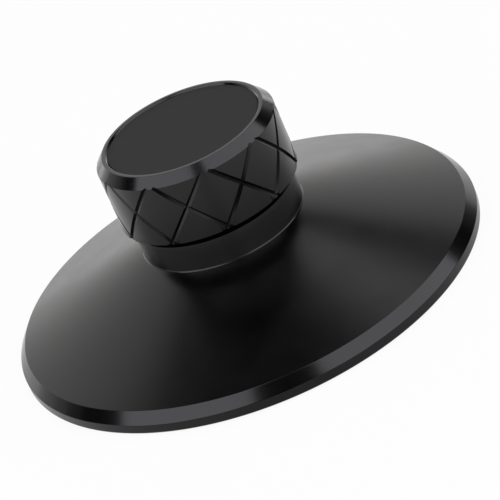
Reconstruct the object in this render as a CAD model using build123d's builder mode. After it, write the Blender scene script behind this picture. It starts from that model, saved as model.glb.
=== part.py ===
# Record weight clamp: a turned conical disc with a collar and spigot, a screwed-on
# grip knob with crossed helical grooves, a matte inlay in the knob's top and a soft pad
# under the disc. Millimetres, +Z up, origin under the middle of the pad, front towards -Y.

import os

from build123d import *

# Soft pad in a seat under the disc, inside the disc's outer land
land_width = 3.35
pad_clearance = 0.15
pad_hole_radius = 11.0
pad_seat_depth = 0.8
pad_proud = 0.8
pad_edge_break = 0.3

# Conical disc, up to the foot of its collar
disc_radius = 50.0
edge_band_height = 1.85
rim_bevel_width = 1.75
rim_bevel_height = 2.25
cone_height = 10.9
disc_edge_break = 0.25

# Collar, neck and threaded spigot, turned in one with the disc
collar_radius = 17.35
collar_height = 6.0
collar_foot_round = 0.4
collar_edge_break = 0.15
gap_depth = 3.35
gap_height = 1.8
spigot_radius = 8.0
spigot_lead_in = 1.0

# Blind bore for the turntable's spindle
spindle_bore_radius = 3.7
spindle_bore_depth = 24.0
spindle_lead_in = 0.9

# Grip knob
knob_radius = 19.1
knob_height = 15.2
knob_bevel_width = 1.8
knob_bevel_height = 1.95
knob_edge_break = 0.2
knob_rim_width = 0.75
recess_bevel = 0.35
knob_web = 2.7
thread_clearance = 0.1
thread_end_room = 1.0

# Crossed V grooves round the grip: crossings lie in three rows, one at mid-height and
# one close to each end of the knob
groove_count = 10
groove_width = 1.0
groove_depth = 0.3
groove_end_margin = 0.65
groove_overrun = 1.5
groove_crossing_azimuth = 20.4

# Inlay in the knob's top, as high as the foot of the recess's bevel
inlay_thickness = 0.9
inlay_clearance = 0.05

# Radii and heights that follow from the sizes above
pad_seat_radius = disc_radius - land_width
neck_radius = collar_radius - gap_depth
rim_inner_radius = knob_radius - knob_bevel_width - knob_rim_width
recess_radius = rim_inner_radius - recess_bevel
disc_underside = pad_proud
pad_seat = disc_underside + pad_seat_depth
band_top = disc_underside + edge_band_height
bevel_top = band_top + rim_bevel_height
collar_foot = bevel_top + cone_height
collar_top = collar_foot + collar_height
knob_underside = collar_top + gap_height
knob_middle = knob_underside + knob_height / 2
knob_top = knob_underside + knob_height
inlay_top = knob_top - recess_bevel
recess_floor = inlay_top - inlay_thickness
thread_end = recess_floor - knob_web
spigot_end = thread_end - thread_end_room

os.makedirs("parts", exist_ok=True)


# Soft pad: a flat ring in a seat turned into the disc's underside
with BuildPart() as label_pad:
    with BuildSketch(Plane.XY):
        Circle(pad_seat_radius - pad_clearance)
        Circle(pad_hole_radius, mode=Mode.SUBTRACT)
    extrude(amount=pad_seat)
    chamfer(label_pad.faces().sort_by(Axis.Z)[0].edges(), length=pad_edge_break)

label_pad.part.label = "label_pad"
export_step(label_pad.part, "parts/label_pad.step")


# Disc, collar, neck and spigot: one half-section turned about the axis
with BuildPart() as base_disc:
    with BuildSketch(Plane.XZ) as disc_section:
        with BuildLine():
            Polyline(
                (0, pad_seat),
                (pad_seat_radius, pad_seat),
                (pad_seat_radius, disc_underside),
                (disc_radius, disc_underside),
                (disc_radius, band_top),
                (disc_radius - rim_bevel_width, bevel_top),
                (collar_radius, collar_foot),
                (collar_radius, collar_top),
                (neck_radius, collar_top),
                (neck_radius, knob_underside),
                (spigot_radius, knob_underside),
                (spigot_radius, spigot_end),
                (0, spigot_end),
                close=True,
            )
        make_face()
        corners = disc_section.vertices()
        fillet(corners.sort_by_distance((collar_radius, collar_foot))[0], radius=collar_foot_round)
        chamfer(corners.sort_by_distance((disc_radius, disc_underside))[0], length=disc_edge_break)
        chamfer(corners.sort_by_distance((collar_radius, collar_top))[0], length=collar_edge_break)
        chamfer(corners.sort_by_distance((spigot_radius, spigot_end))[0], length=spigot_lead_in)
    revolve(axis=Axis.Z)

    with BuildSketch(Plane.XZ):
        with BuildLine():
            Polyline(
                (0, pad_seat),
                (spindle_bore_radius + spindle_lead_in, pad_seat),
                (spindle_bore_radius, pad_seat + spindle_lead_in),
                (spindle_bore_radius, pad_seat + spindle_bore_depth),
                (0, pad_seat + spindle_bore_depth),
                close=True,
            )
        make_face()
    revolve(axis=Axis.Z, mode=Mode.SUBTRACT)

base_disc.part.label = "base_disc"
export_step(base_disc.part, "parts/base_disc.step")


# One V groove of each hand, swept along a helix that passes both ends of the knob
groove_lead = groove_count * (knob_height - 2 * groove_end_margin)
groove_start = knob_underside - groove_overrun
groove_run = knob_height + 2 * groove_overrun
groove_turn = 360 * (knob_middle - groove_start) / groove_lead
front_angle = -90 + groove_crossing_azimuth


def groove_cutter(left_handed):
    mouth = groove_width / 2 * (groove_depth + groove_overrun) / groove_depth
    with BuildPart() as cutter:
        with BuildLine() as path:
            Helix(groove_lead, groove_run, knob_radius, center=(0, 0, groove_start), lefthand=left_handed)
        across = Plane(origin=path.line @ 0, x_dir=(1, 0, 0), z_dir=path.line % 0)
        with BuildSketch(across):
            with BuildLine():
                Polyline((-groove_depth, 0), (groove_overrun, mouth), (groove_overrun, -mouth), close=True)
            make_face()
        sweep(path=path.line, is_frenet=True)
    return cutter.part


right_groove = groove_cutter(left_handed=False)
left_groove = groove_cutter(left_handed=True)


# Grip knob: turned blank with a bevelled recess in its top and a blind threaded hole, then grooved
with BuildPart() as grip_knob:
    with BuildSketch(Plane.XZ) as knob_section:
        with BuildLine():
            Polyline(
                (spigot_radius + thread_clearance, knob_underside),
                (knob_radius, knob_underside),
                (knob_radius, knob_top - knob_bevel_height),
                (knob_radius - knob_bevel_width, knob_top),
                (rim_inner_radius, knob_top),
                (recess_radius, inlay_top),
                (recess_radius, recess_floor),
                (0, recess_floor),
                (0, thread_end),
                (spigot_radius + thread_clearance, thread_end),
                close=True,
            )
        make_face()
        lower_corner = knob_section.vertices().sort_by_distance((knob_radius, knob_underside))[0]
        chamfer(lower_corner, length=knob_edge_break)
    revolve(axis=Axis.Z)
    with PolarLocations(0, groove_count, start_angle=front_angle - groove_turn):
        add(right_groove, mode=Mode.SUBTRACT)
    with PolarLocations(0, groove_count, start_angle=front_angle + groove_turn):
        add(left_groove, mode=Mode.SUBTRACT)

grip_knob.part.label = "grip_knob"
export_step(grip_knob.part, "parts/grip_knob.step")


# Matte inlay: a thin disc laid in the recess, a little below the knob's rim
with BuildPart() as top_inlay:
    with BuildSketch(Plane.XY.offset(recess_floor)):
        Circle(recess_radius - inlay_clearance)
    extrude(amount=inlay_thickness)

top_inlay.part.label = "top_inlay"
export_step(top_inlay.part, "parts/top_inlay.step")
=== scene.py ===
"""Record weight clamp: turned visual pieces, black anodised finishes and a plain studio."""
import math

import bpy
from mathutils import Matrix, Vector


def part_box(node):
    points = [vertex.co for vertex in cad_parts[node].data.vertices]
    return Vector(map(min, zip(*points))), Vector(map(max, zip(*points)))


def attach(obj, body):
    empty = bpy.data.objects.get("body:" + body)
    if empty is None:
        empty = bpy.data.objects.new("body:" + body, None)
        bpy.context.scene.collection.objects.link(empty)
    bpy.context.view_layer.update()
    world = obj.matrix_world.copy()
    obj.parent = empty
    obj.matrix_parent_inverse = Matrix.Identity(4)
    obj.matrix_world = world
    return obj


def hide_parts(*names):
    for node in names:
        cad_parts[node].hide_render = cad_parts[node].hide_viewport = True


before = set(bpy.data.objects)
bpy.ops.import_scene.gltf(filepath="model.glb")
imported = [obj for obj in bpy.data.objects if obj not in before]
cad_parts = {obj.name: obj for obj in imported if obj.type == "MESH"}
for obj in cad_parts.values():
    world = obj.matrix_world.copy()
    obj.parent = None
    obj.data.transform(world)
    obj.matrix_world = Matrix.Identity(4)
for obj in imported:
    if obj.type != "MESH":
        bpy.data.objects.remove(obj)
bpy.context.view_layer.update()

MM = 0.001
disc_low, disc_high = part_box("base_disc")
knob_low, knob_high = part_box("grip_knob")
pad_low, pad_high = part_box("label_pad")
inlay_low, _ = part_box("top_inlay")

# Soft pad and its seat
PAD_SEAT = pad_high.z
PAD_CLEARANCE = 0.15 * MM
PAD_SEAT_RADIUS = pad_high.x + PAD_CLEARANCE
PAD_HOLE_RADIUS = 11.0 * MM
PAD_EDGE_ROUND = 0.3 * MM

# Disc, collar and neck
DISC_RADIUS = disc_high.x
DISC_UNDERSIDE = disc_low.z
BAND_HEIGHT = 1.85 * MM
BAND_TOP = DISC_UNDERSIDE + BAND_HEIGHT
RIM_BEVEL_WIDTH = 1.75 * MM
RIM_BEVEL_HEIGHT = 2.25 * MM
BEVEL_TOP = BAND_TOP + RIM_BEVEL_HEIGHT
BEVEL_TOP_RADIUS = DISC_RADIUS - RIM_BEVEL_WIDTH
CONE_HEIGHT = 10.9 * MM
COLLAR_RADIUS = 17.35 * MM
COLLAR_HEIGHT = 6.0 * MM
COLLAR_FOOT = BEVEL_TOP + CONE_HEIGHT
COLLAR_TOP = COLLAR_FOOT + COLLAR_HEIGHT
FOOT_ROUND = 0.4 * MM
FOOT_ROUND_STEPS = 6
NECK_RADIUS = 14.0 * MM

# Spigot and spindle bore
SPIGOT_RADIUS = 8.0 * MM
SPIGOT_END = disc_high.z
BORE_RADIUS = 3.7 * MM
BORE_LEAD_IN = 0.9 * MM
BORE_DEPTH = 24.0 * MM
BORE_END = PAD_SEAT + BORE_DEPTH

# Grip knob
KNOB_RADIUS = 19.1 * MM
KNOB_UNDERSIDE = knob_low.z
KNOB_TOP = knob_high.z
KNOB_HEIGHT = KNOB_TOP - KNOB_UNDERSIDE
KNOB_BEVEL_WIDTH = 1.8 * MM
KNOB_BEVEL_HEIGHT = 1.95 * MM
KNOB_BEVEL_FOOT = KNOB_TOP - KNOB_BEVEL_HEIGHT
KNOB_RIM_WIDTH = 0.75 * MM
KNOB_RIM_RADIUS = KNOB_RADIUS - KNOB_BEVEL_WIDTH
RIM_INNER_RADIUS = KNOB_RIM_RADIUS - KNOB_RIM_WIDTH
RECESS_BEVEL = 0.35 * MM
RECESS_RADIUS = RIM_INNER_RADIUS - RECESS_BEVEL
RECESS_FLOOR = inlay_low.z
THREAD_CLEARANCE = 0.1 * MM
THREAD_RADIUS = SPIGOT_RADIUS + THREAD_CLEARANCE
THREAD_END_ROOM = 1.0 * MM
THREAD_END = SPIGOT_END + THREAD_END_ROOM

# Crossed grooves: crossings lie at mid-height and a margin from each end of the knob
GROOVE_COUNT = 10
GROOVE_WIDTH = 1.0 * MM
GROOVE_DEPTH = 0.3 * MM
GROOVE_END_MARGIN = 0.65 * MM
GROOVE_ROW = KNOB_HEIGHT / 2 - GROOVE_END_MARGIN
GROOVE_OVERRUN = 1.5 * MM
GROOVE_AZIMUTH = math.radians(20.4)
GROOVE_STEPS = 40

# Turning and edge rounds
TURN_SEGMENTS = 288
WELD = MM / 1000
EDGE_ROUND = 0.08 * MM
KNOB_EDGE_ROUND = 0.04 * MM
EDGE_ROUND_SEGMENTS = 3
CREASE_ANGLE = math.radians(25)
NORMAL_WEIGHT = 100

# How far a face's normal points up in the zones that share a finish
BEVEL_LEAN = 0.3
FOOT_LEAN = 0.05
ANY_LEAN = -1.0

# Finishes: shades are linear, scales count features in a metre, depths are those of the relief
MICRON = 1e-6
NOISE_LOW = 0.3
NOISE_HIGH = 0.7
FEED_DETAIL = 3.0

SATIN_IOR = 1.42
SATIN_DARK = (0.0012, 0.0012, 0.0013)
SATIN_LIGHT = (0.0020, 0.0020, 0.0021)
SATIN_ROUGHNESS = (0.235, 0.265)
WALL_ROUGHNESS = (0.20, 0.23)
SATIN_MOTTLE_SCALE = 160
SATIN_MOTTLE_DETAIL = 3
SATIN_RING_SCALE = 2600
SATIN_RING_DEPTH = 1.2 * MICRON
SATIN_GRAIN_SCALE = 2400
SATIN_GRAIN_DETAIL = 2
SATIN_GRAIN_DEPTH = 4 * MICRON

POLISHED_IOR = 1.5
POLISHED_DARK = (0.0016, 0.0016, 0.0017)
POLISHED_LIGHT = (0.0024, 0.0024, 0.0025)
POLISHED_ROUGHNESS = (0.14, 0.18)
POLISHED_RING_SCALE = 5200
POLISHED_RING_DEPTH = 0.4 * MICRON

INLAY_IOR = 1.4
INLAY_DARK = (0.0210, 0.0212, 0.0204)
INLAY_LIGHT = (0.0273, 0.0276, 0.0265)
INLAY_ROUGHNESS = (0.86, 0.94)
INLAY_GRAIN_SCALE = 2600
INLAY_GRAIN_DETAIL = 3
INLAY_GRAIN_DEPTH = 15 * MICRON

RUBBER_IOR = 1.5
RUBBER_DARK = (0.015, 0.015, 0.015)
RUBBER_LIGHT = (0.021, 0.021, 0.021)
RUBBER_ROUGHNESS = (0.7, 0.8)
RUBBER_PEBBLE_SCALE = 1500
RUBBER_PEBBLE_DETAIL = 2
RUBBER_PEBBLE_DEPTH = 30 * MICRON

# Lamps stand this far away; an area lamp's power is pi times its radiance and area
LAMP_DISTANCE = 1.0
LAMP_POWER_PER_RADIANCE = math.pi
COOL = (0.99, 0.98, 1.05)
WARM = (1.015, 0.995, 0.985)

# Name, azimuth, elevation, move to the side, lift, width, height, radiance and tint
LAMPS = (
    ("front_left_softbox", -40, 50, -0.31, -0.165, 1.12, 1.15, 1.85, COOL),
    ("front_right_softbox", 34, 38, 0.705, 0.15, 1.91, 1.06, 1.85, COOL),
    ("front_top_fill", -2, 65, 0, 0, 0.12, 0.13, 0.9, COOL),
    ("left_low_panel", -76, 0, 0, 0.13, 0.9, 0.22, 1.25, COOL),
    ("front_low_panel", 18, 0, 0, 0.15, 0.66, 0.26, 0.95, COOL),
    ("back_low_panel", 180, 0, 0.14, 0.13, 1.72, 0.26, 1.1, WARM),
    ("back_left_panel", 180, 0, 0.5, 0.96, 1.0, 1.4, 0.98, WARM),
    ("back_left_wing", 180, 0, 1.275, 0.83, 0.55, 1.66, 0.55, WARM),
    ("back_left_fade", 180, 0, 1.825, 0.83, 0.55, 1.66, 0.37, WARM),
    ("back_left_end", 180, 0, 2.6, 0.83, 1.0, 1.66, 0.13, WARM),
    ("back_right_panel", 180, 0, -0.4, 0.59, 0.8, 0.66, 0.96, WARM),
    ("back_right_wing", 180, 0, -0.96, 0.46, 0.32, 0.92, 0.5, WARM),
    ("back_right_fade", 180, 0, -1.26, 0.46, 0.28, 0.92, 0.17, WARM),
    ("back_right_end", 180, 0, -1.6, 0.46, 0.4, 0.92, 0.07, WARM),
    ("upper_right_strip", 152, 56, 0, 0.005, 0.4, 0.24, 1.45, WARM),
)

# Dim room with a pale sweep low at the back
AMBIENT = 0.004
SWEEP_TOP = math.sin(math.radians(8))
SWEEP_SIDE = math.cos(math.radians(52))
SWEEP_FULL = math.cos(math.radians(28))

# Paper floor: where its painted brightness changes, and the painted light and shade that mirrored rays see
# there
FLOOR_SIZE = 60.0
FLOOR_DROP = 0.05 * MM
FLOOR_TONE = 0.9
FLOOR_WHITE_SEEN = 0.94
FLOOR_WHITE_MIRRORED = 0.75
FLOOR_NEAR = 54 * MM
FLOOR_SHADED = 66 * MM
FLOOR_FAR = 90 * MM
FLOOR_BESIDE = (-50 * MM, -8 * MM)
FLOOR_BEHIND = (-25 * MM, 30 * MM)
FLOOR_WEDGE = (4 * MM, 20 * MM)
FLOOR_ASIDE = (100 * MM, 240 * MM)
FLOOR_SECTOR = 0.5
# Painted contact shadow: inside these radii, round the axis and round a point a little behind it, the floor
# stops glowing for the camera and shows dark
FLOOR_PAINTED_SHADOW = (49.8 * MM, 50.05 * MM)
FLOOR_PAINTED_SHADOW_MIDDLE = (0, 1.28 * MM, 0)
GLOW_NEAR = 0.68
GLOW_SHADED = 0.38
GLOW_FAR = 1.0
GLOW_WEDGE = 0.75
GLOW_ASIDE = 0.25

# Camera: the object's axis leans to the left in the picture
CAMERA_ELEVATION = math.radians(27.70)
CAMERA_ROLL = math.radians(-23.71)
CAMERA_DISTANCE = 618.5 * MM
CAMERA_LENS = 216.5
CAMERA_SENSOR = 36.0
AIM_RIGHT = 0.17 * MM
AIM_UP = 6.43 * MM


def deselect():
    """Leave edit mode with nothing selected."""
    if bpy.context.object and bpy.context.object.mode == "EDIT":
        bpy.ops.object.mode_set(mode="OBJECT")
    bpy.ops.object.select_all(action="DESELECT")


def select(piece):
    """Make one object the only selected and the active one."""
    deselect()
    bpy.context.view_layer.objects.active = piece
    piece.select_set(True)


def draw_section(name, corners, closed):
    """A half-section in the XZ plane, drawn by extruding one vertex from corner to corner."""
    deselect()
    bpy.ops.mesh.primitive_plane_add(size=MM, location=(0, 0, 0))
    piece = bpy.context.object
    piece.name = name
    piece.data.name = name
    bpy.ops.object.mode_set(mode="EDIT")
    bpy.ops.mesh.merge(type="CENTER")
    start = Vector((corners[0][0], 0, corners[0][1]))
    bpy.ops.transform.translate(value=start)
    here = start
    for radius, height in corners[1:]:
        there = Vector((radius, 0, height))
        bpy.ops.mesh.extrude_region_move(TRANSFORM_OT_translate={"value": there - here})
        here = there
    if closed:
        bpy.ops.mesh.extrude_region_move(TRANSFORM_OT_translate={"value": start - here})
    bpy.ops.mesh.select_all(action="SELECT")
    bpy.ops.mesh.remove_doubles(threshold=WELD)
    return piece


def turn(name, corners, closed=False):
    """Spin a half-section once round the axis and close its seam."""
    piece = draw_section(name, corners, closed)
    bpy.ops.mesh.select_all(action="SELECT")
    bpy.ops.mesh.spin(steps=TURN_SEGMENTS, angle=math.tau, center=(0, 0, 0), axis=(0, 0, 1))
    bpy.ops.mesh.select_all(action="SELECT")
    bpy.ops.mesh.remove_doubles(threshold=WELD)
    bpy.ops.mesh.normals_make_consistent(inside=False)
    bpy.ops.object.mode_set(mode="OBJECT")
    return piece


def apply_modifier(piece, modifier):
    select(piece)
    bpy.ops.object.modifier_apply(modifier=modifier.name)


def round_edges(piece, width):
    """Break the sharp turned edges with a small round."""
    bevel = piece.modifiers.new("edge_round", "BEVEL")
    bevel.width = width
    bevel.segments = EDGE_ROUND_SEGMENTS
    bevel.limit_method = "ANGLE"
    bevel.angle_limit = CREASE_ANGLE
    apply_modifier(piece, bevel)


def shade(piece):
    """Smooth shading in which the broad faces stay true and only the small rounds blend."""
    select(piece)
    bpy.ops.object.shade_smooth_by_angle(angle=CREASE_ANGLE)
    even = piece.modifiers.new("even_normals", "WEIGHTED_NORMAL")
    even.mode = "FACE_AREA"
    even.weight = NORMAL_WEIGHT
    even.keep_sharp = True
    apply_modifier(piece, even)


def foot_round():
    """Corners of the hollow round where the cone meets the collar, from the cone up."""
    run = BEVEL_TOP_RADIUS - COLLAR_RADIUS
    slope = math.atan2(COLLAR_FOOT - BEVEL_TOP, run)
    reach = FOOT_ROUND * math.tan((math.pi / 2 - slope) / 2)
    centre = Vector((COLLAR_RADIUS + FOOT_ROUND, COLLAR_FOOT + reach))
    points = []
    for step in range(FOOT_ROUND_STEPS + 1):
        angle = (math.pi / 2 - slope) * (1 - step / FOOT_ROUND_STEPS)
        points.append((centre.x - FOOT_ROUND * math.cos(angle), centre.y - FOOT_ROUND * math.sin(angle)))
    return points


def make_disc():
    """Disc, collar, neck and spigot in one, with the blind bore from below."""
    corners = [
        (0, BORE_END),
        (BORE_RADIUS, BORE_END),
        (BORE_RADIUS, PAD_SEAT + BORE_LEAD_IN),
        (BORE_RADIUS + BORE_LEAD_IN, PAD_SEAT),
        (PAD_SEAT_RADIUS, PAD_SEAT),
        (PAD_SEAT_RADIUS, DISC_UNDERSIDE),
        (DISC_RADIUS, DISC_UNDERSIDE),
        (DISC_RADIUS, BAND_TOP),
        (BEVEL_TOP_RADIUS, BEVEL_TOP),
        *foot_round(),
        (COLLAR_RADIUS, COLLAR_TOP),
        (NECK_RADIUS, COLLAR_TOP),
        (NECK_RADIUS, KNOB_UNDERSIDE),
        (SPIGOT_RADIUS, KNOB_UNDERSIDE),
        (SPIGOT_RADIUS, SPIGOT_END),
        (0, SPIGOT_END),
    ]
    piece = turn("disc_turned", corners)
    round_edges(piece, EDGE_ROUND)
    shade(piece)
    return piece


def groove_cutter(name, hand):
    """V cutters of one hand, each swept along a helix past both ends of the knob."""
    lead = 2 * GROOVE_ROW * GROOVE_COUNT
    rise = KNOB_HEIGHT + 2 * GROOVE_OVERRUN
    turn_angle = math.tau * rise / lead
    climb = math.atan2(lead, math.tau * KNOB_RADIUS)
    half = GROOVE_WIDTH / 2 / math.cos(climb)
    mouth = half * (GROOVE_DEPTH + GROOVE_OVERRUN) / GROOVE_DEPTH
    base = KNOB_UNDERSIDE - GROOVE_OVERRUN
    corners = [
        (KNOB_RADIUS - GROOVE_DEPTH, base),
        (KNOB_RADIUS + GROOVE_OVERRUN, base + mouth),
        (KNOB_RADIUS + GROOVE_OVERRUN, base - mouth),
    ]
    cutter = draw_section(name, corners, closed=True)
    bpy.ops.object.mode_set(mode="OBJECT")
    screw = cutter.modifiers.new("helix", "SCREW")
    screw.angle = hand * turn_angle
    screw.screw_offset = rise
    screw.steps = GROOVE_STEPS
    screw.render_steps = GROOVE_STEPS
    apply_modifier(cutter, screw)
    bpy.ops.object.mode_set(mode="EDIT")
    bpy.ops.mesh.select_all(action="SELECT")
    bpy.ops.mesh.fill_holes(sides=0)
    bpy.ops.mesh.select_all(action="SELECT")
    bpy.ops.mesh.normals_make_consistent(inside=False)
    first = -math.pi / 2 + GROOVE_AZIMUTH - hand * turn_angle / 2
    bpy.ops.transform.rotate(value=-first, orient_axis="Z", center_override=(0, 0, 0))
    for _ in range(GROOVE_COUNT - 1):
        bpy.ops.mesh.duplicate()
        bpy.ops.transform.rotate(value=-math.tau / GROOVE_COUNT, orient_axis="Z", center_override=(0, 0, 0))
    bpy.ops.object.mode_set(mode="OBJECT")
    return cutter


def cut_grooves(piece):
    for name, hand in (("right_cutter", 1), ("left_cutter", -1)):
        cutter = groove_cutter(name, hand)
        cut = piece.modifiers.new(name, "BOOLEAN")
        cut.operation = "DIFFERENCE"
        cut.solver = "MANIFOLD"
        cut.object = cutter
        apply_modifier(piece, cut)
        bpy.data.objects.remove(cutter)


def make_knob():
    """Knob with its bevelled recess and its threaded hole, then grooved."""
    corners = [
        (0, THREAD_END),
        (THREAD_RADIUS, THREAD_END),
        (THREAD_RADIUS, KNOB_UNDERSIDE),
        (KNOB_RADIUS, KNOB_UNDERSIDE),
        (KNOB_RADIUS, KNOB_BEVEL_FOOT),
        (KNOB_RIM_RADIUS, KNOB_TOP),
        (RIM_INNER_RADIUS, KNOB_TOP),
        (RECESS_RADIUS, KNOB_TOP - RECESS_BEVEL),
        (RECESS_RADIUS, RECESS_FLOOR),
        (0, RECESS_FLOOR),
    ]
    piece = turn("knob_turned", corners)
    round_edges(piece, KNOB_EDGE_ROUND)
    cut_grooves(piece)
    shade(piece)
    return piece


def make_pad():
    """Flat ring with rounded edges."""
    corners = [
        (PAD_HOLE_RADIUS, PAD_SEAT),
        (PAD_HOLE_RADIUS, pad_low.z),
        (pad_high.x, pad_low.z),
        (pad_high.x, PAD_SEAT),
    ]
    piece = turn("pad_ring", corners, closed=True)
    round_edges(piece, PAD_EDGE_ROUND)
    shade(piece)
    return piece


def fade(tree, value, start, end, at_start, at_end):
    """Node output that goes smoothly from one value to another as its input does."""
    ramp = tree.nodes.new("ShaderNodeMapRange")
    ramp.interpolation_type = "SMOOTHSTEP"
    ramp.inputs["From Min"].default_value = start
    ramp.inputs["From Max"].default_value = end
    ramp.inputs["To Min"].default_value = at_start
    ramp.inputs["To Max"].default_value = at_end
    tree.links.new(value, ramp.inputs["Value"])
    return ramp.outputs["Result"]


def pick(tree, operation, first, second):
    """Output of a maths node on two values, each a node's output or a number."""
    node = tree.nodes.new("ShaderNodeMath")
    node.operation = operation
    for socket, value in zip(node.inputs, (first, second)):
        if isinstance(value, (int, float)):
            socket.default_value = value
        else:
            tree.links.new(value, socket)
    return node.outputs[0]


def axes_of(tree, vector):
    """The X, Y and Z outputs of a vector."""
    node = tree.nodes.new("ShaderNodeSeparateXYZ")
    tree.links.new(vector, node.inputs["Vector"])
    return node.outputs


def distance(tree, spots, middle):
    """How far each spot lies from a point."""
    node = tree.nodes.new("ShaderNodeVectorMath")
    node.operation = "DISTANCE"
    node.inputs[1].default_value = middle
    tree.links.new(spots, node.inputs[0])
    return node.outputs["Value"]


def noise(tree, spots, scale, detail):
    """Cloudy noise; the scale counts its features in a metre."""
    texture = tree.nodes.new("ShaderNodeTexNoise")
    texture.inputs["Scale"].default_value = scale
    texture.inputs["Detail"].default_value = detail
    tree.links.new(spots, texture.inputs["Vector"])
    return texture.outputs[0]


def feed_marks(tree, spots, scale):
    """Noise that changes only along a turned section, so that it runs in rings round the axis."""
    flat = tree.nodes.new("ShaderNodeVectorMath")
    flat.operation = "MULTIPLY"
    flat.inputs[1].default_value = (1, 1, 0)
    tree.links.new(spots, flat.inputs[0])
    radius = distance(tree, flat.outputs["Vector"], (0, 0, 0))
    along = pick(tree, "SUBTRACT", radius, axes_of(tree, spots)["Z"])
    rings = tree.nodes.new("ShaderNodeTexNoise")
    rings.noise_dimensions = "1D"
    rings.inputs["Scale"].default_value = scale
    rings.inputs["Detail"].default_value = FEED_DETAIL
    tree.links.new(along, rings.inputs["W"])
    return rings.outputs[0]


def shades(tree, value, dark, light):
    """Colour between a dark and a light shade as the noise goes from low to high."""
    ramp = tree.nodes.new("ShaderNodeValToRGB")
    ramp.color_ramp.elements[0].position = NOISE_LOW
    ramp.color_ramp.elements[0].color = (*dark, 1)
    ramp.color_ramp.elements[1].position = NOISE_HIGH
    ramp.color_ramp.elements[1].color = (*light, 1)
    tree.links.new(value, ramp.inputs["Fac"])
    return ramp.outputs["Color"]


def relief(tree, height, depth, below=None):
    """Normal of a surface with that relief, on top of another relief where one is given."""
    bump = tree.nodes.new("ShaderNodeBump")
    bump.inputs["Distance"].default_value = depth
    tree.links.new(height, bump.inputs["Height"])
    if below:
        tree.links.new(below, bump.inputs["Normal"])
    return bump.outputs["Normal"]


def new_finish(name, ior):
    """A material, its node tree, its shader and its place on the piece."""
    material = bpy.data.materials.new(name)
    material.use_nodes = True
    tree = material.node_tree
    shader = tree.nodes["Principled BSDF"]
    shader.inputs["IOR"].default_value = ior
    spots = tree.nodes.new("ShaderNodeTexCoord")
    return material, tree, shader, spots.outputs["Object"]


def vary(tree, shader, value, dark, light, roughness):
    """Let a noise value set the shader's shade and its roughness between two limits."""
    tree.links.new(shades(tree, value, dark, light), shader.inputs["Base Color"])
    tree.links.new(fade(tree, value, NOISE_LOW, NOISE_HIGH, *roughness), shader.inputs["Roughness"])


def satin_black(name, roughness):
    """Black anodised aluminium: fine blasted grain over faint turning rings, with a slight mottle."""
    material, tree, shader, spots = new_finish(name, SATIN_IOR)
    mottle = noise(tree, spots, SATIN_MOTTLE_SCALE, SATIN_MOTTLE_DETAIL)
    vary(tree, shader, mottle, SATIN_DARK, SATIN_LIGHT, roughness)
    rings = relief(tree, feed_marks(tree, spots, SATIN_RING_SCALE), SATIN_RING_DEPTH)
    grain = noise(tree, spots, SATIN_GRAIN_SCALE, SATIN_GRAIN_DETAIL)
    tree.links.new(relief(tree, grain, SATIN_GRAIN_DEPTH, rings), shader.inputs["Normal"])
    return material


def polished_black():
    """Bright-turned bevels and collar: smoother, with fine rings left by the tool."""
    material, tree, shader, spots = new_finish("polished_bevel", POLISHED_IOR)
    rings = feed_marks(tree, spots, POLISHED_RING_SCALE)
    vary(tree, shader, rings, POLISHED_DARK, POLISHED_LIGHT, POLISHED_ROUGHNESS)
    tree.links.new(relief(tree, rings, POLISHED_RING_DEPTH), shader.inputs["Normal"])
    return material


def matte_grey():
    """Matte inlay with a fine dry grain."""
    material, tree, shader, spots = new_finish("matte_inlay", INLAY_IOR)
    grain = noise(tree, spots, INLAY_GRAIN_SCALE, INLAY_GRAIN_DETAIL)
    vary(tree, shader, grain, INLAY_DARK, INLAY_LIGHT, INLAY_ROUGHNESS)
    tree.links.new(relief(tree, grain, INLAY_GRAIN_DEPTH), shader.inputs["Normal"])
    return material


def soft_rubber():
    """Pad rubber: dull, lightly pebbled."""
    material, tree, shader, spots = new_finish("pad_rubber", RUBBER_IOR)
    pebbles = noise(tree, spots, RUBBER_PEBBLE_SCALE, RUBBER_PEBBLE_DETAIL)
    vary(tree, shader, pebbles, RUBBER_DARK, RUBBER_LIGHT, RUBBER_ROUGHNESS)
    tree.links.new(relief(tree, pebbles, RUBBER_PEBBLE_DEPTH), shader.inputs["Normal"])
    return material


SATIN = satin_black("satin_black", SATIN_ROUGHNESS)
SATIN_WALL = satin_black("satin_wall", WALL_ROUGHNESS)
POLISHED = polished_black()
INLAY = matte_grey()
RUBBER = soft_rubber()
METAL = (SATIN, SATIN_WALL, POLISHED)


def in_zone(face, radius_low, radius_high, height_low, height_high, lean_low):
    """Whether a face lies between two radii and two heights and leans at least that much upwards."""
    radius = math.hypot(face.center.x, face.center.y)
    inside = radius_low <= radius <= radius_high and height_low <= face.center.z <= height_high
    return inside and face.normal.z >= lean_low


def finish_metal(piece, walls, polished):
    """Satin all over, smoother on the turned walls and polished in the bright-turned zones."""
    piece.data.materials.clear()
    for material in METAL:
        piece.data.materials.append(material)
    for face in piece.data.polygons:
        if any(in_zone(face, *zone) for zone in polished):
            face.material_index = METAL.index(POLISHED)
        elif any(in_zone(face, *zone) for zone in walls):
            face.material_index = METAL.index(SATIN_WALL)


def direction(azimuth, elevation):
    """Unit vector towards a place in the studio; azimuth 0 is the front and 90 the right."""
    a, e = math.radians(azimuth), math.radians(elevation)
    return Vector((math.sin(a) * math.cos(e), -math.cos(a) * math.cos(e), math.sin(e)))


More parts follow.
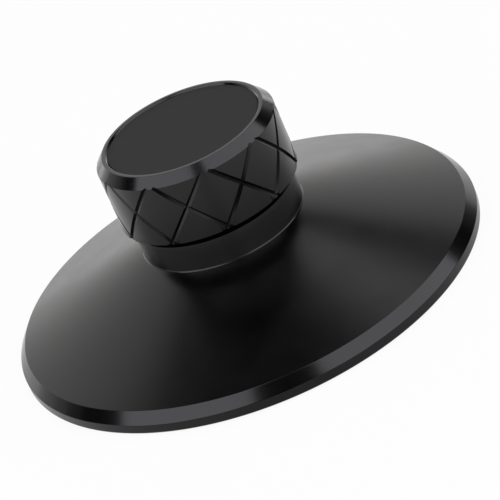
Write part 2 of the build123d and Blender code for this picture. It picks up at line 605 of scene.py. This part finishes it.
def softbox(name, azimuth, elevation, side, lift, width, height, radiance, tint):
    """A rectangular lamp that the camera doesn't see. Its plane is square to the direction given,
    and its middle is moved sideways and up in that plane."""
    away = direction(azimuth, elevation)
    across = Vector((math.cos(math.radians(azimuth)), math.sin(math.radians(azimuth)), 0))
    upright = away.cross(across)
    lamp = bpy.data.lights.new(name, "AREA")
    lamp.shape = "RECTANGLE"
    lamp.size = width
    lamp.size_y = height
    lamp.energy = radiance * LAMP_POWER_PER_RADIANCE * width * height
    lamp.color = tint
    holder = bpy.data.objects.new(name, lamp)
    bpy.context.scene.collection.objects.link(holder)
    place = away * LAMP_DISTANCE + across * side + upright * lift
    turned = Matrix((across, upright, away)).transposed()
    holder.matrix_world = Matrix.Translation(place) @ turned.to_4x4()
    holder.visible_camera = False


def make_room():
    """World that lights the metal dimly, with the pale sweep; the camera sees white all round."""
    world = bpy.data.worlds.new("studio")
    bpy.context.scene.world = world
    world.use_nodes = True
    tree = world.node_tree
    ways = tree.nodes.new("ShaderNodeTexCoord")
    axes = axes_of(tree, ways.outputs["Generated"])
    level = fade(tree, axes["Z"], SWEEP_TOP, 0.0, 0.0, 1.0)
    behind = fade(tree, axes["Y"], SWEEP_SIDE, SWEEP_FULL, 0.0, 1.0)
    sweep = pick(tree, "MAXIMUM", pick(tree, "MULTIPLY", level, behind), AMBIENT)
    paths = tree.nodes.new("ShaderNodeLightPath")
    seen = pick(tree, "MAXIMUM", sweep, paths.outputs["Is Camera Ray"])
    tree.links.new(seen, tree.nodes["Background"].inputs["Color"])


def painted_floor_reflection(tree, axes, reach):
    """Painted brightness of the floor in the metal: a painted shadow a little outside the disc, less so at
    its sides, full at the back, a painted darker wedge straight ahead, and dim far to the left and right."""
    close = fade(tree, reach, FLOOR_NEAR, FLOOR_SHADED, 1.0, 0.0)
    beside = fade(tree, axes["Y"], *FLOOR_BESIDE, GLOW_NEAR, 1.0)
    near = pick(tree, "MULTIPLY", close, beside)
    far = fade(tree, reach, FLOOR_SHADED, FLOOR_FAR, GLOW_SHADED, GLOW_FAR)
    # Painted shade: a darker wedge on the floor straight in front of the object
    aside = pick(tree, "ABSOLUTE", axes["X"], 0.0)
    wedge = fade(tree, aside, *FLOOR_WEDGE, GLOW_WEDGE, 1.0)
    front = pick(tree, "MULTIPLY", pick(tree, "MAXIMUM", near, far), wedge)
    back = fade(tree, axes["Y"], *FLOOR_BEHIND, 0.0, 1.0)
    deep = pick(tree, "ABSOLUTE", axes["Y"], 0.0)
    outward = pick(tree, "SUBTRACT", aside, pick(tree, "MULTIPLY", deep, FLOOR_SECTOR))
    edge = fade(tree, outward, *FLOOR_ASIDE, 1.0, GLOW_ASIDE)
    return pick(tree, "MULTIPLY", pick(tree, "MAXIMUM", front, back), edge)


def floor_paper():
    """Pale paper that reads white to the eye, apart from a soft shadow and a painted contact shadow right
    under the disc.
    """
    paper = bpy.data.materials.new("floor_paper")
    paper.use_nodes = True
    tree = paper.node_tree
    shader = tree.nodes["Principled BSDF"]
    shader.inputs["Roughness"].default_value = 1.0
    shader.inputs["Specular IOR Level"].default_value = 0.0
    shader.inputs["Base Color"].default_value = (FLOOR_TONE, FLOOR_TONE, FLOOR_TONE, 1)
    spots = tree.nodes.new("ShaderNodeTexCoord").outputs["Object"]
    reach = distance(tree, spots, (0, 0, 0))
    paths = tree.nodes.new("ShaderNodeLightPath").outputs

    # Painted contact shadow: the camera's white glow is cut away just inside the disc's edge, so the paper
    # shows dark there
    outside = fade(tree, reach, *FLOOR_PAINTED_SHADOW, 0.0, 1.0)
    before = fade(tree, distance(tree, spots, FLOOR_PAINTED_SHADOW_MIDDLE), *FLOOR_PAINTED_SHADOW, 0.0, 1.0)
    white = pick(tree, "MULTIPLY", pick(tree, "MAXIMUM", outside, before), paths["Is Camera Ray"])
    unseen = pick(tree, "SUBTRACT", 1.0, paths["Is Camera Ray"])
    # The metal mirrors the floor's painted light and shade
    in_metal = pick(tree, "MULTIPLY", painted_floor_reflection(tree, axes_of(tree, spots), reach), unseen)
    glow = tree.nodes.new("ShaderNodeEmission")
    tree.links.new(pick(tree, "MAXIMUM", in_metal, white), glow.inputs["Strength"])

    mirrored = pick(tree, "MAXIMUM", paths["Is Glossy Ray"], paths["Is Transmission Ray"])
    seen = pick(tree, "MULTIPLY", paths["Is Camera Ray"], FLOOR_WHITE_SEEN)
    share = pick(tree, "MAXIMUM", seen, pick(tree, "MULTIPLY", mirrored, FLOOR_WHITE_MIRRORED))
    blend = tree.nodes.new("ShaderNodeMixShader")
    tree.links.new(share, blend.inputs["Fac"])
    tree.links.new(shader.outputs["BSDF"], blend.inputs[1])
    tree.links.new(glow.outputs["Emission"], blend.inputs[2])
    tree.links.new(blend.outputs["Shader"], tree.nodes["Material Output"].inputs["Surface"])
    return paper


def place_camera():
    """Long lens from the front and above, rolled about its own axis."""
    camera_data = bpy.data.cameras.new("camera")
    camera_data.lens = CAMERA_LENS
    camera_data.sensor_width = CAMERA_SENSOR
    camera = bpy.data.objects.new("camera", camera_data)
    bpy.context.scene.collection.objects.link(camera)
    tilt = Matrix.Rotation(math.pi / 2 - CAMERA_ELEVATION, 3, "X") @ Matrix.Rotation(CAMERA_ROLL, 3, "Z")
    place = Vector((0, 0, DISC_UNDERSIDE)) + tilt @ Vector((AIM_RIGHT, AIM_UP, CAMERA_DISTANCE))
    camera.matrix_world = Matrix.Translation(place) @ tilt.to_4x4()
    bpy.context.scene.camera = camera


# Pieces and the zones of their finishes: two radii, two heights and the least lean
disc = make_disc()
rim_bevel = (BEVEL_TOP_RADIUS - EDGE_ROUND, DISC_RADIUS, BAND_TOP - EDGE_ROUND, BEVEL_TOP + EDGE_ROUND / 2,
             BEVEL_LEAN)
collar_foot = (COLLAR_RADIUS, COLLAR_RADIUS + FOOT_ROUND, COLLAR_FOOT - FOOT_ROUND, COLLAR_FOOT + FOOT_ROUND,
               FOOT_LEAN)
collar_wall = (COLLAR_RADIUS - EDGE_ROUND, COLLAR_RADIUS + EDGE_ROUND, COLLAR_FOOT, COLLAR_TOP, ANY_LEAN)
edge_band = (DISC_RADIUS - EDGE_ROUND, DISC_RADIUS, DISC_UNDERSIDE, BAND_TOP, ANY_LEAN)
finish_metal(disc, [edge_band], [rim_bevel, collar_foot, collar_wall])

knob = make_knob()
grip_wall = (KNOB_RADIUS - 2 * GROOVE_DEPTH, KNOB_RADIUS, KNOB_UNDERSIDE, KNOB_TOP, ANY_LEAN)
knob_bevel = (RECESS_RADIUS, KNOB_RADIUS, KNOB_BEVEL_FOOT, KNOB_TOP, BEVEL_LEAN)
finish_metal(knob, [grip_wall], [knob_bevel])

pad = make_pad()
pad.data.materials.append(RUBBER)

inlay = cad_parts["top_inlay"]
inlay.data.materials.clear()
inlay.data.materials.append(INLAY)

for piece, node, slot in (
    (disc, "base_disc", "black_anodised"),
    (knob, "grip_knob", "black_anodised"),
    (pad, "label_pad", "pad_rubber"),
):
    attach(piece, "root")
    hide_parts(node)

# Studio
for lamp in LAMPS:
    softbox(*lamp)
make_room()
deselect()
bpy.ops.mesh.primitive_plane_add(size=FLOOR_SIZE, location=(0, 0, -FLOOR_DROP))
floor = bpy.context.object
floor.name = "floor"
floor.data.materials.append(floor_paper())
place_camera()
bpy.context.scene.view_settings.view_transform = "Standard"
